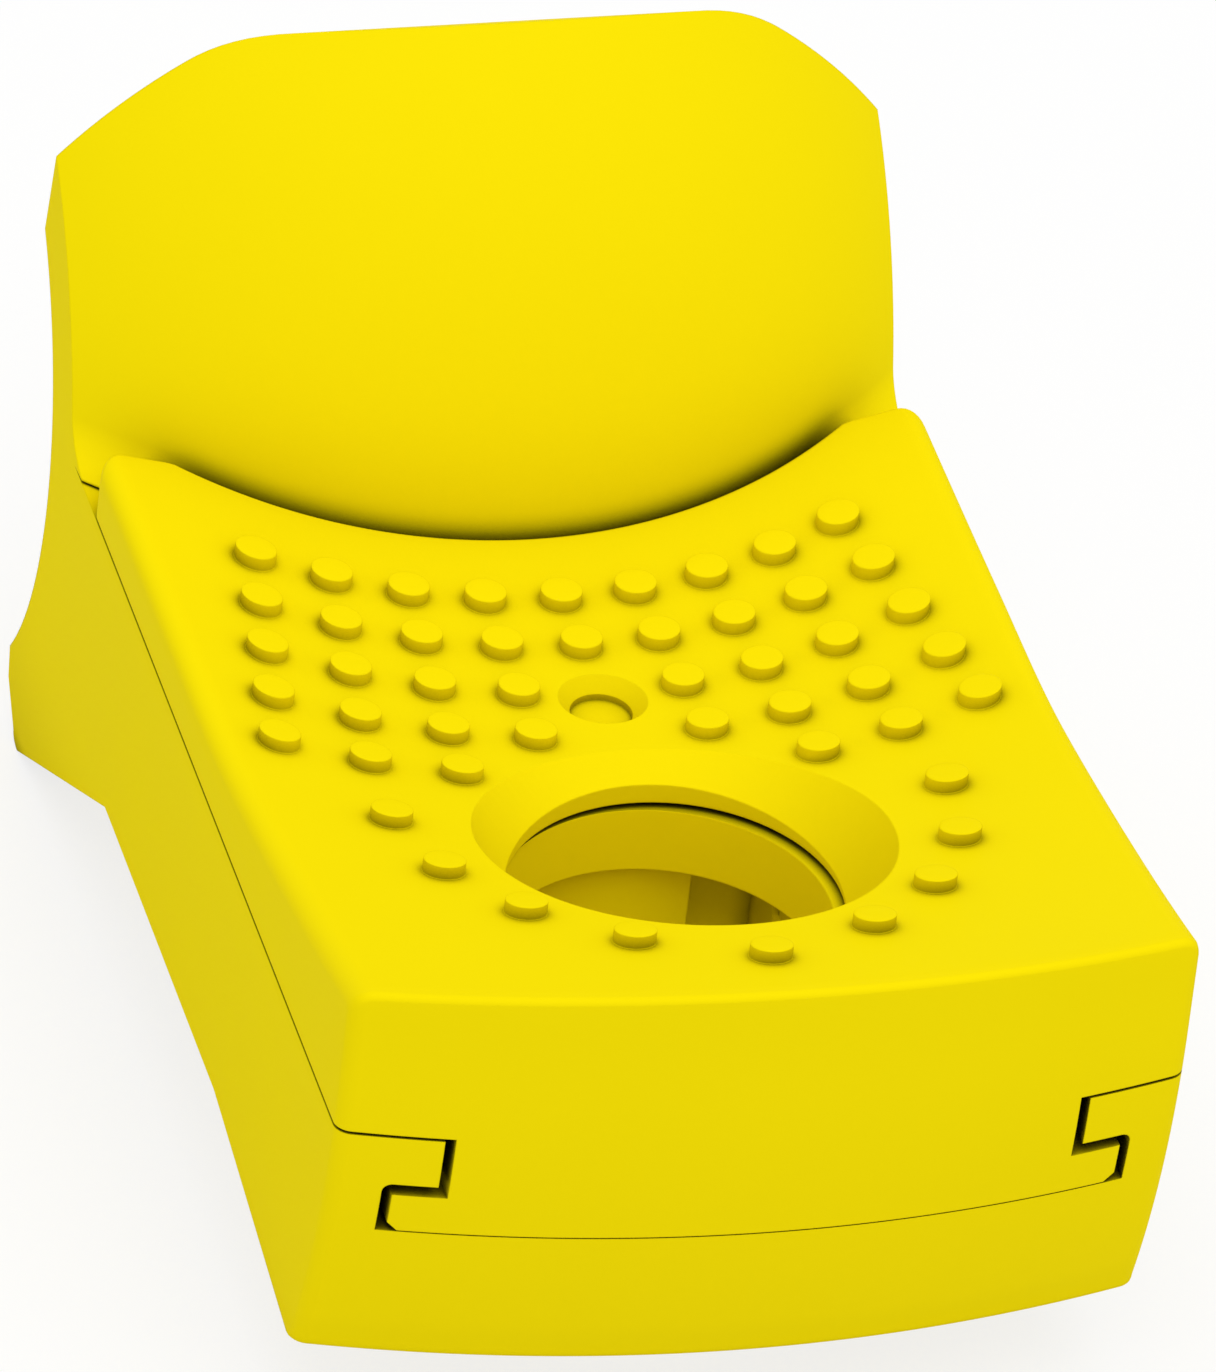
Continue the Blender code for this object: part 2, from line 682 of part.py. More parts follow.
def make_jaw_pad(surface):
    """Rubber pad on the jaw between its lip and the screw."""
    top = JAW_LOW_Z + JAW_THICK + SEAT_GAP / 2.0
    low = (-JAW_HALF + 0.5, JAW_FRONT_Y + JAW_LIP_LENGTH + 0.2, top)
    high = (JAW_HALF - 0.5, SCREW_Y - SCREW_RADIUS - 0.3, top + PAD_THICK)
    return finish(box("jaw_pad", low, high, (0.0, SCREW_Y, 0.0)), surface)


def make_plate(surface):
    """Toothed steel plate under the deck, above the jaw's lip."""
    roof = DECK_TOP_Z - DECK_THICK - SEAT_GAP / 2.0
    start = POCKET_FRONT_Y + SEAT_GAP
    rear = start + PLATE_LENGTH
    half = DECK_HALF - DECK_SIDE - SEAT_GAP
    pitch = PLATE_LENGTH / JAW_TEETH
    outline = [(start, roof), (start, roof - PLATE_THICK)]
    for i in range(JAW_TEETH):
        outline.append((start + pitch * (i + 0.5), roof - PLATE_THICK * 0.6))
        outline.append((start + pitch * (i + 1.0), roof - PLATE_THICK))
    outline.append((rear, roof))
    plate = extrude_x("grip_plate", outline, -half, half)
    middle = PLATE_SCREW_Y
    for sign, side in ((-1.0, "left"), (1.0, "right")):
        place = (sign * PLATE_SCREW_X, middle)
        cut(plate, rod("plate_hole_" + side, place, PLATE_SCREW_RADIUS + SEAT_GAP, -BIG, BIG))
    return finish(plate, surface)


def make_plate_screw(sign, side, surface):
    roof = DECK_TOP_Z - DECK_THICK
    low = roof - SEAT_GAP - PLATE_THICK - PLATE_SCREW_HEAD
    levels = [
        (PLATE_SCREW_HEAD_RADIUS * 0.7, low),
        (PLATE_SCREW_HEAD_RADIUS, low + PLATE_SCREW_HEAD * 0.5),
        (PLATE_SCREW_HEAD_RADIUS, low + PLATE_SCREW_HEAD),
        (PLATE_SCREW_RADIUS, low + PLATE_SCREW_HEAD),
        (PLATE_SCREW_RADIUS, roof + PLATE_SCREW_LENGTH),
    ]
    place = (sign * PLATE_SCREW_X, PLATE_SCREW_Y)
    return finish(stacked("grip_plate_screw_" + side, place, levels, 12), surface)


def make_stop_pin(sign, side, surface):
    low = -GROOVE_DEPTH - PIN_SINK
    high = -GROOVE_DEPTH + PIN_RISE
    levels = [
        (PIN_RADIUS - 0.15, low),
        (PIN_RADIUS, low + 0.15),
        (PIN_RADIUS, high - 0.15),
        (PIN_RADIUS - 0.15, high),
    ]
    place = (sign * PIN_X, PIN_Y)
    return finish(stacked("stop_pin_" + side, place, levels, 16), surface)


def main():
    clear_scene()
    origin = bpy.data.objects.new(ORIGIN_NAME, None)
    bpy.context.scene.collection.objects.link(origin)
    front = front_y(0.0, FRONT_LEAN_TOP)
    middle_y = (front + SHIELD_TRIM_Y) / 2.0
    origin.matrix_world = Matrix.Translation(Vector((0.0, -middle_y, -FOOT_TIP_Z)) * MM)
    moulded = material("yellow_base", YELLOW, 0.45)
    moulded_cover = material("yellow_cover", YELLOW, 0.45)
    make_base(moulded)
    make_cover(moulded_cover)
    make_screw(material("screw_steel", STEEL, 0.3, 1.0))
    make_ring(material("ring_steel", BLACK, 0.4, 1.0))
    make_jaw(material("jaw_steel", STEEL, 0.35, 1.0))
    make_jaw_pad(material("pad_rubber", BLACK, 0.8))
    make_plate(material("plate_steel", STEEL, 0.35, 1.0))
    pin_steel = material("pin_steel", STEEL, 0.25, 1.0)
    plate_screw_steel = material("plate_screw_steel", STEEL, 0.3, 1.0)
    for sign, side in ((-1.0, "left"), (1.0, "right")):
        make_plate_screw(sign, side, plate_screw_steel)
        make_stop_pin(sign, side, pin_steel)


main()
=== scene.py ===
"""Looks of the sliding breaker lock-off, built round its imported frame.

Lengths are worked out in millimetres in the part's own frame: X across, +Y to
the rear, +Z up, with Y = 0 at the cover's front corner and Z = 0 at the
parting plane between cover and base. place() moves them to the frame's
metres, where the origin is the middle of the object on the floor.
"""

import logging  # noqa: E402
from dataclasses import dataclass, field  # noqa: E402
from enum import Enum  # noqa: E402

import bpy  # noqa: E402
import numpy as np  # noqa: E402
from mathutils import Euler, Matrix, Vector  # noqa: E402


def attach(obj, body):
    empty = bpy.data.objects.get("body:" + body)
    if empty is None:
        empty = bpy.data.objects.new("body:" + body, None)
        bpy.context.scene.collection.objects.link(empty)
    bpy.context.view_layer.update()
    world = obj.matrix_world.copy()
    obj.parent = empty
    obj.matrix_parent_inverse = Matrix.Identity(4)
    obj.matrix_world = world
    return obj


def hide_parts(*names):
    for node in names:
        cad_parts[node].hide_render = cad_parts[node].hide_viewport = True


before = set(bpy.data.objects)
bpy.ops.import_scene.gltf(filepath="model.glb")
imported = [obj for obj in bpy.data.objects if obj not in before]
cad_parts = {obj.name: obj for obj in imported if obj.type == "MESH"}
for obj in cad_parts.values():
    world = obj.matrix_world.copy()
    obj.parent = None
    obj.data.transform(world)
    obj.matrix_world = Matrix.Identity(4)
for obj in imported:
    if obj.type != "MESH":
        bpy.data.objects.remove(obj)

LOG = logging.getLogger("lockoff")

MM = 0.001
FAR = 60.0
GAP = 0.2
FRONT_MOST_Y = -1.8169
REAR_MOST_Y = 38.68
LOWEST_Z = -12.4
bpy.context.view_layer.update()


class Side(Enum):
    """Left or right half, valued by its sign along X."""

    LEFT = -1.0
    RIGHT = 1.0


class Operation(Enum):
    """Ways of combining two closed meshes."""

    CUT = "DIFFERENCE"
    ADD = "UNION"
    KEEP = "INTERSECT"


def place(points: np.ndarray) -> np.ndarray:
    """Move points from the part's millimetres to the frame's metres.

    Args:
        points: array of (..., 3) in the part's own frame.

    Returns:
        The same points in the frame, in metres.
    """
    shift = np.array([0.0, -(FRONT_MOST_Y + REAR_MOST_Y) / 2.0, -LOWEST_Z])
    return (points + shift) * MM


def smoothstep(value: np.ndarray) -> np.ndarray:
    """Eased value: 3v squared less 2v cubed, with v held between 0 and 1."""
    held = np.clip(value, 0.0, 1.0)
    return held * held * (3.0 - 2.0 * held)


def round_drop(distance: np.ndarray, radius: float) -> np.ndarray:
    """How far a round lies inside its corner: r less the root of r squared less (r - d) squared."""
    inside = np.clip(radius - distance, 0.0, radius)
    return radius - np.sqrt(np.maximum(radius * radius - inside * inside, 0.0))


# ------------------------------------------------------------------ mesh making


def mesh_object(name: str, points: np.ndarray, faces: list[tuple[int, ...]]) -> bpy.types.Object:
    """Object from points in the part's frame.

    Args:
        name: the object's name.
        points: (n, 3) array in millimetres.
        faces: corner indices of each face, in order round its outer side.

    Returns:
        The new object, linked to the scene at the origin.
    """
    mesh = bpy.data.meshes.new(name)
    mesh.from_pydata(place(points).tolist(), [], faces)
    mesh.update()
    made = bpy.data.objects.new(name, mesh)
    bpy.context.scene.collection.objects.link(made)
    return made


def ring_faces(rings: int, count: int, closed: bool, start: int = 0) -> list[tuple[int, ...]]:
    """Quads between neighbouring rings, and end caps when the skin isn't closed on itself.

    Args:
        rings: how many rings there are.
        count: points in each ring.
        closed: whether the last ring joins the first.
        start: index of the first point.

    Returns:
        The list of faces.
    """
    i = np.arange(rings if closed else rings - 1)[:, None]
    j = np.arange(count)[None, :]
    here = start + i * count
    there = start + ((i + 1) % rings) * count
    k = (j + 1) % count
    quads = np.stack([here + j, here + k, there + k, there + j], axis=-1).reshape(-1, 4)
    faces = [tuple(quad) for quad in quads.tolist()]
    if not closed:
        faces.append(tuple(range(start + count - 1, start - 1, -1)))
        last = start + (rings - 1) * count
        faces.append(tuple(range(last, last + count)))
    return faces


def skin(name: str, rings: np.ndarray) -> bpy.types.Object:
    """Closed skin through an array of rings.

    Args:
        name: the object's name.
        rings: (rings, points, 3) array in millimetres.

    Returns:
        The closed object, facing out.
    """
    count, size = rings.shape[:2]
    points = rings.reshape(-1, 3)
    faces = ring_faces(count, size, closed=False)
    if signed_volume(points, faces) < 0.0:
        faces = [face[::-1] for face in faces]
    return mesh_object(name, points, faces)


def signed_volume(points: np.ndarray, faces: list[tuple[int, ...]]) -> float:
    """Sum over fans of each face of the triple product of its corners, over six."""
    fans = [(f[0], f[i], f[i + 1]) for f in faces for i in range(1, len(f) - 1)]
    corners = points[np.array(fans)]
    return float(np.einsum("ij,ij->i", corners[:, 0], np.cross(corners[:, 1], corners[:, 2])).sum()) / 6.0


def ring_angles(sides: int) -> np.ndarray:
    """Angles of the points of a ring, half a step off the X axis."""
    return 2.0 * np.pi * (np.arange(sides) + 0.5) / sides


def turned_rings(profile: np.ndarray, centre: tuple[float, float], sides: int) -> np.ndarray:
    """Rings of a turned solid: the point at angle a is centre + r (cos a, sin a), at height z.

    Args:
        profile: (n, 2) array of radius and z.
        centre: X and Y of the axis.
        sides: points round the axis.

    Returns:
        (n, sides, 3) array.
    """
    angle = ring_angles(sides)
    radius, z = profile[:, :1], profile[:, 1:]
    x = centre[0] + radius * np.cos(angle)
    y = centre[1] + radius * np.sin(angle)
    return np.stack([x, y, np.broadcast_to(z, x.shape)], axis=-1)


def prism_x(name: str, outline: list[tuple[float, float]], low: float, high: float) -> bpy.types.Object:
    """Outline of (y, z) points carried along X from low to high."""
    flat = np.array(outline)
    rings = np.stack([np.column_stack([np.full(len(flat), x), flat]) for x in (low, high)])
    return skin(name, rings)


def prism_y(name: str, outline: list[tuple[float, float]], low: float, high: float) -> bpy.types.Object:
    """Outline of (x, z) points carried along Y from low to high."""
    flat = np.array(outline)
    rings = np.stack(
        [np.column_stack([flat[:, 0], np.full(len(flat), y), flat[:, 1]]) for y in (low, high)]
    )
    return skin(name, rings)


def box(name: str, low: tuple[float, float, float], high: tuple[float, float, float]) -> bpy.types.Object:
    """Straight-sided block between two corners."""
    outline = [(low[1], low[2]), (high[1], low[2]), (high[1], high[2]), (low[1], high[2])]
    return prism_x(name, outline, low[0], high[0])


def rod(
    name: str, centre: tuple[float, float], radius: float, low: float, high: float, sides: int = 48
) -> bpy.types.Object:
    """Upright round rod of a fixed radius between two heights."""
    return skin(name, turned_rings(np.array([[radius, low], [radius, high]]), centre, sides))


def combine(target: bpy.types.Object, tool: bpy.types.Object, operation: Operation) -> None:
    """Combine two closed meshes, keep the result in target, and remove the tool.

    Args:
        target: the mesh that changes.
        tool: the helper, which is removed.
        operation: how the two are combined.
    """
    modifier = target.modifiers.new("combine", "BOOLEAN")
    modifier.operation = operation.value
    modifier.solver = "EXACT"
    modifier.object = tool
    bpy.context.view_layer.update()
    evaluated = target.evaluated_get(bpy.context.evaluated_depsgraph_get())
    changed = bpy.data.meshes.new_from_object(evaluated)
    target.modifiers.clear()
    old = target.data
    target.data = changed
    bpy.data.meshes.remove(old)
    spent = tool.data
    bpy.data.objects.remove(tool)
    bpy.data.meshes.remove(spent)


def dress(made: bpy.types.Object, surface: bpy.types.Material, angle: float = 32.0) -> bpy.types.Object:
    """Give a piece its material and smooth shading with edges kept sharp above an angle.

    Args:
        made: the piece.
        surface: its material.
        angle: degrees above which an edge stays sharp.

    Returns:
        The piece.
    """
    made.data.materials.clear()
    made.data.materials.append(surface)
    made.data.shade_smooth()
    made.data.set_sharp_from_angle(angle=np.radians(angle))
    return made


# ------------------------------------------------------------------ shapes shared by both mouldings


@dataclass(frozen=True)
class Body:
    """Sizes that both mouldings share."""

    half_width: float = 12.5
    bow_radius: float = 43.0
    lean_radius: float = 27.8
    lean_top: float = 1.5
    corner_round: float = 0.4

    def front(self, x: np.ndarray, z: np.ndarray) -> np.ndarray:
        """Front face: x squared over twice the bow radius, plus the lean below lean_top squared."""
        bow = (x * x - self.half_width**2) / (2.0 * self.bow_radius)
        below = np.maximum(self.lean_top - z, 0.0)
        corner = round_drop(self.half_width - np.abs(x), self.corner_round)
        return bow + below * below / (2.0 * self.lean_radius) + corner

    def stations(self, edge: float, inner: int, turns: int) -> np.ndarray:
        """X places of sections, spread evenly and then by equal angles round the edge.

        Args:
            edge: radius of the rounded edge.
            inner: sections between the middle and the start of the round.
            turns: sections in the round.

        Returns:
            Sorted X values, symmetric about 0.
        """
        flat = (self.half_width - edge) * np.arange(1, inner + 1) / inner
        angle = np.pi / 2.0 * np.arange(1, turns + 1) / turns
        half = np.concatenate([flat, self.half_width - edge + edge * np.sin(angle)])
        return np.concatenate([-half[::-1], [0.0], half])


@dataclass(frozen=True)
class ShieldShape:
    """The shield: a shell turned about an upright axis behind the part."""

    axis_y: float = 44.7
    throat: float = 17.05
    profile_radius: float = 20.0
    waist_z: float = -3.2
    thick: float = 1.5
    top_z: float = 11.7
    top_slope: float = np.radians(32.5)
    trim_y: float = REAR_MOST_Y
    trim_z: float = 4.5
    trim_lean: float = np.radians(7.8)
    top_round: float = 0.9
    toe_round: float = 1.2
    toe_from: float = 9.3
    toe_ease: float = 0.9
    toe_steps: int = 12
    sides: int = 240
    levels: int = 60

    def radius(self, z: np.ndarray, offset: float = 0.0) -> np.ndarray:
        """Radius at a height: the throat, less the profile arc's fall away from the waist."""
        arm = self.profile_radius - offset
        rise = z - self.waist_z
        centre = self.throat - self.profile_radius
        return centre + np.sqrt(np.maximum(arm * arm - rise * rise, 0.0))

    def solid(self, name: str, offset: float, low: float, high: float, toe: bool) -> bpy.types.Object:
        """Solid inside the turned surface, with a fillet at the foot of its outer ends.

        The radius at a height plus toe(z) times side(x), where toe(z) is round_drop of the
        toe's round and side(x) eases from 0 at toe_from to 1 over toe_ease.

        Args:
            name: the object's name.
            offset: how far the surface lies inside the front face.
            low: lowest z.
            high: highest z.
            toe: whether the fillet is added.

        Returns:
            The closed solid.
        """
        z = np.linspace(low, high, self.levels + 1)
        if toe:
            z = np.sort(np.concatenate([z, np.linspace(-0.09, self.toe_round, self.toe_steps)]))
        radius = self.radius(z, offset)[:, None]
        angle = ring_angles(self.sides)[None, :]
        if toe:
            side = smoothstep((np.abs(radius * np.cos(angle)) - self.toe_from) / self.toe_ease)
            flare = round_drop(np.clip(z, 0.0, None), self.toe_round)
            flare = np.where(z < -0.05, 0.0, flare)[:, None]
            radius = radius + flare * side
        x = radius * np.cos(angle)
        y = self.axis_y + radius * np.sin(angle)
        return skin(name, np.stack([x, y, np.broadcast_to(z[:, None], x.shape)], axis=-1))

    def trim(self, half_width: float) -> bpy.types.Object:
        """Prism that keeps the shield: leaning rear, sloping top and sides.

        The corner between rear and top is a quadratic curve: (1 - t) squared of its start,
        2t(1 - t) of the corner and t squared of its end.

        Args:
            half_width: half the width that is kept.

        Returns:
            The closed prism.
        """
        lean = np.tan(self.trim_lean)
        corner_y = self.trim_y - lean * (self.top_z - self.trim_z)
        near = self.axis_y - self.profile_radius
        t = np.linspace(0.0, 1.0, 9)
        start_y = corner_y + lean * self.top_round
        start_z = self.top_z - self.top_round
        end_y = corner_y - self.top_round * np.cos(self.top_slope)
        end_z = self.top_z + self.top_round * np.sin(self.top_slope)
        round_y = (1.0 - t) ** 2 * start_y + 2.0 * t * (1.0 - t) * corner_y + t**2 * end_y
        round_z = (1.0 - t) ** 2 * start_z + 2.0 * t * (1.0 - t) * self.top_z + t**2 * end_z
        outline = [(near, LOWEST_Z + 2.0), (self.trim_y, LOWEST_Z + 2.0), (self.trim_y, self.trim_z)]
        outline += list(zip(round_y.tolist(), round_z.tolist()))
        outline.append((near, self.top_z + np.tan(self.top_slope) * (corner_y - near)))
        return prism_x("shield_trim", outline, -half_width, half_width)


@dataclass(frozen=True)
class Rails:
    """Dovetail and deck sizes, with the seams that stay open between base and cover."""

    lip_half: float = 9.49
    lip_depth: float = 1.77
    groove_half: float = 11.03
    groove_depth: float = 3.60
    side_gap: float = 0.3
    top_gap: float = 0.4
    seam: float = 0.04
    top_seam: float = 0.1
    groove_round: float = 0.3
    flange_chamfer: float = 0.3
    deck_half: float = 6.2
    deck_top: float = -0.53
    deck_front: float = 3.9
    deck_thick: float = 2.12
    deck_side: float = 1.2


@dataclass(frozen=True)
class Holes:
    """Padlock hole and small countersunk hole."""

    lock_y: float = 10.15
    lock_radius: float = 4.95
    lock_chamfer: float = 1.15
    lock_front: float = 0.6
    lock_side_z: float = -0.2
    lock_rear_z: float = 0.3
    lock_sides: int = 128
    base_shift: float = -0.25
    base_radius: float = 4.88
    small_y: float = 19.1
    small_radius: float = 0.92
    small_chamfer: float = 0.4
    small_depth: float = 0.48
    small_floor: float = 0.15
    small_sides: int = 64

    def lock_sink(self) -> np.ndarray:
        """Inner edge's height round the padlock hole: the side's, plus the cube of (1 + sin a) / 2."""
        rise = self.lock_rear_z - self.lock_side_z
        return self.lock_side_z + rise * ((1.0 + np.sin(ring_angles(self.lock_sides))) / 2.0) ** 3


# ------------------------------------------------------------------ finishes


def shader_group(name: str, inputs: dict[str, float], outputs: dict[str, str]) -> bpy.types.NodeTree:
    """Empty node group with named number inputs and typed outputs.

    Args:
        name: the group's name.
        inputs: default value of each number input.
        outputs: socket type of each output.

    Returns:
        The node tree, with its input and output nodes in place.
    """
    tree = bpy.data.node_groups.new(name, "ShaderNodeTree")
    for label, value in inputs.items():
        socket = tree.interface.new_socket(name=label, in_out="INPUT", socket_type="NodeSocketFloat")
        socket.default_value = value
    for label, kind in outputs.items():
        tree.interface.new_socket(name=label, in_out="OUTPUT", socket_type=kind)
    tree.nodes.new("NodeGroupInput").name = "in"
    tree.nodes.new("NodeGroupOutput").name = "out"
    return tree


def add_node(
    nodes: bpy.types.Nodes, kind: str, values: dict[str | int, object], **settings: object
) -> bpy.types.Node:
    """Add a node, then set its settings and the values of its inputs.

    Args:
        nodes: the tree's nodes.
        kind: the node's type.
        values: value of each input, by its name or place.
        settings: value of each of the node's own properties.

    Returns:
        The node.
    """
    made = nodes.new(kind)
    for label, value in settings.items():
        setattr(made, label, value)
    for label, value in values.items():
        made.inputs[label].default_value = value
    return made


def moulded_group() -> bpy.types.NodeTree:
    """Fine satin grain and slow mottling of a moulded surface, in object space.

    Returns:
        Group with a height, a roughness and a mottle mask as outputs.
    """
    tree = shader_group(
        "moulded_skin",
        {"Grain Scale": 9000.0, "Mottle Scale": 160.0, "Roughness": 0.5, "Spread": 0.08},
        {"Height": "NodeSocketFloat", "Roughness": "NodeSocketFloat", "Mottle": "NodeSocketFloat"},
    )
    nodes, links = tree.nodes, tree.links
    where = add_node(nodes, "ShaderNodeTexCoord", {})
    grain = add_node(nodes, "ShaderNodeTexNoise", {"Detail": 3.0})
    mottle = add_node(nodes, "ShaderNodeTexNoise", {"Detail": 2.0})
    centred = add_node(nodes, "ShaderNodeMath", {1: 0.5}, operation="SUBTRACT")
    spread = add_node(nodes, "ShaderNodeMath", {}, operation="MULTIPLY_ADD")
    links.new(where.outputs["Object"], grain.inputs["Vector"])
    links.new(where.outputs["Object"], mottle.inputs["Vector"])
    links.new(nodes["in"].outputs["Grain Scale"], grain.inputs["Scale"])
    links.new(nodes["in"].outputs["Mottle Scale"], mottle.inputs["Scale"])
    links.new(mottle.outputs["Fac"], centred.inputs[0])
    links.new(centred.outputs[0], spread.inputs[0])
    links.new(nodes["in"].outputs["Spread"], spread.inputs[1])
    links.new(nodes["in"].outputs["Roughness"], spread.inputs[2])
    links.new(grain.outputs["Fac"], nodes["out"].inputs["Height"])
    links.new(spread.outputs[0], nodes["out"].inputs["Roughness"])
    links.new(mottle.outputs["Fac"], nodes["out"].inputs["Mottle"])
    return tree


@dataclass(frozen=True)
class Moulded:
    """Coloured moulded plastic with a satin grain, softened edges, and shade painted into its hollows from
    ambient occlusion.

    reach and wide_reach are how far the two painted-shade masks (ambient occlusion) look round a point, in
    metres.
    """

    name: str
    light: tuple[float, float, float]
    deep: tuple[float, float, float]
    roughness: float = 0.5
    specular: float = 0.004
    edge: float = 0.00008
    grain: float = 0.05
    grain_depth: float = 0.00002
    # hollow: near-black colour painted in as shade where crevices and gaps are fully occluded
    hollow: tuple[float, float, float] = (0.004, 0.0025, 0.0)
    reach: float = 0.001
    closed_below: float = 0.05
    open_above: float = 0.92
    wide_reach: float = 0.005
    wide_floor: float = 0.7
    wide_open: float = 0.97
    samples: int = 8

    def make(self, group: bpy.types.NodeTree) -> bpy.types.Material:
        """Build the material.

        Args:
            group: the shared moulded skin.

        Returns:
            The material.
        """
        made = bpy.data.materials.new(self.name)
        made.use_nodes = True
        nodes, links = made.node_tree.nodes, made.node_tree.links
        shader = nodes["Principled BSDF"]
        shader.inputs["Specular IOR Level"].default_value = self.specular
        levels = {"Roughness": self.roughness}
        skin_node = add_node(nodes, "ShaderNodeGroup", levels, node_tree=group)
        tones = {"A": (*self.deep, 1.0), "B": (*self.light, 1.0)}
        ramp = add_node(nodes, "ShaderNodeMix", tones, data_type="RGBA")
        relief = {"Strength": self.grain, "Distance": self.grain_depth}
        bump = add_node(nodes, "ShaderNodeBump", relief)
        soft = add_node(nodes, "ShaderNodeBevel", {"Radius": self.edge}, samples=self.samples)
        # painted shade: ambient occlusion darkens the base colour in crevices, gaps and hollows
        with_painted_shade = self.shade_hollows(made.node_tree, ramp.outputs["Result"])
        links.new(skin_node.outputs["Mottle"], ramp.inputs["Factor"])
        links.new(with_painted_shade, shader.inputs["Base Color"])
        links.new(skin_node.outputs["Roughness"], shader.inputs["Roughness"])
        links.new(skin_node.outputs["Height"], bump.inputs["Height"])
        links.new(soft.outputs["Normal"], bump.inputs["Normal"])
        links.new(bump.outputs["Normal"], shader.inputs["Normal"])
        return made

    def shade_hollows(
        self, tree: bpy.types.NodeTree, colour: bpy.types.NodeSocket
    ) -> bpy.types.NodeSocket:
        """Paint shade into a colour: near black in crevices and gaps, and mildly darker in wide hollows,
        from ambient occlusion.

        Args:
            tree: the material's node tree.
            colour: output that gives the colour in the open.

        Returns:
            The output that gives the colour with painted shade.
        """
        nodes, links = tree.nodes, tree.links
        occlusion = "ShaderNodeAmbientOcclusion"
        near = add_node(nodes, occlusion, {"Distance": self.reach}, samples=self.samples)
        span = {"From Min": self.closed_below, "From Max": self.open_above}
        open_part = add_node(nodes, "ShaderNodeMapRange", span, interpolation_type="SMOOTHSTEP")
        shade = add_node(nodes, "ShaderNodeMix", {"A": (*self.hollow, 1.0)}, data_type="RGBA")
        wide = add_node(nodes, occlusion, {"Distance": self.wide_reach}, samples=self.samples)
        span = {"From Min": 0.0, "From Max": self.wide_open, "To Min": self.wide_floor, "To Max": 1.0}
        mild = add_node(nodes, "ShaderNodeMapRange", span)
        with_painted_shade = add_node(nodes, "ShaderNodeMix", {"A": (0.0, 0.0, 0.0, 1.0)}, data_type="RGBA")
        links.new(near.outputs["AO"], open_part.inputs["Value"])
        links.new(open_part.outputs["Result"], shade.inputs["Factor"])
        links.new(colour, shade.inputs["B"])
        links.new(wide.outputs["AO"], mild.inputs["Value"])
        links.new(mild.outputs["Result"], with_painted_shade.inputs["Factor"])
        links.new(shade.outputs["Result"], with_painted_shade.inputs["B"])
        return with_painted_shade.outputs["Result"]


@dataclass(frozen=True)
class Metal:
    """Plated or blackened steel with a fine mottle and relief."""

    name: str
    colour: tuple[float, float, float]
    dark: tuple[float, float, float]
    roughness: float = 0.32
    spread: float = 0.2
    mottle_scale: float = 1500.0
    grain: float = 0.15
    grain_depth: float = 0.00002

    def make(self, group: bpy.types.NodeTree) -> bpy.types.Material:
        """Build the material.

        Args:
            group: the shared moulded skin, used here as a fine mottling.

        Returns:
            The material.
        """
        made = bpy.data.materials.new(self.name)
        made.use_nodes = True
        nodes, links = made.node_tree.nodes, made.node_tree.links
        shader = nodes["Principled BSDF"]
        shader.inputs["Metallic"].default_value = 1.0
        levels = {"Roughness": self.roughness, "Spread": self.spread, "Mottle Scale": self.mottle_scale}
        skin_node = add_node(nodes, "ShaderNodeGroup", levels, node_tree=group)
        tones = {"A": (*self.dark, 1.0), "B": (*self.colour, 1.0)}
        ramp = add_node(nodes, "ShaderNodeMix", tones, data_type="RGBA")
        relief = {"Strength": self.grain, "Distance": self.grain_depth}
        bump = add_node(nodes, "ShaderNodeBump", relief)
        links.new(skin_node.outputs["Mottle"], ramp.inputs["Factor"])
        links.new(ramp.outputs["Result"], shader.inputs["Base Color"])
        links.new(skin_node.outputs["Roughness"], shader.inputs["Roughness"])
        links.new(skin_node.outputs["Height"], bump.inputs["Height"])
        links.new(bump.outputs["Normal"], shader.inputs["Normal"])
        return made


# ------------------------------------------------------------------ slide cover


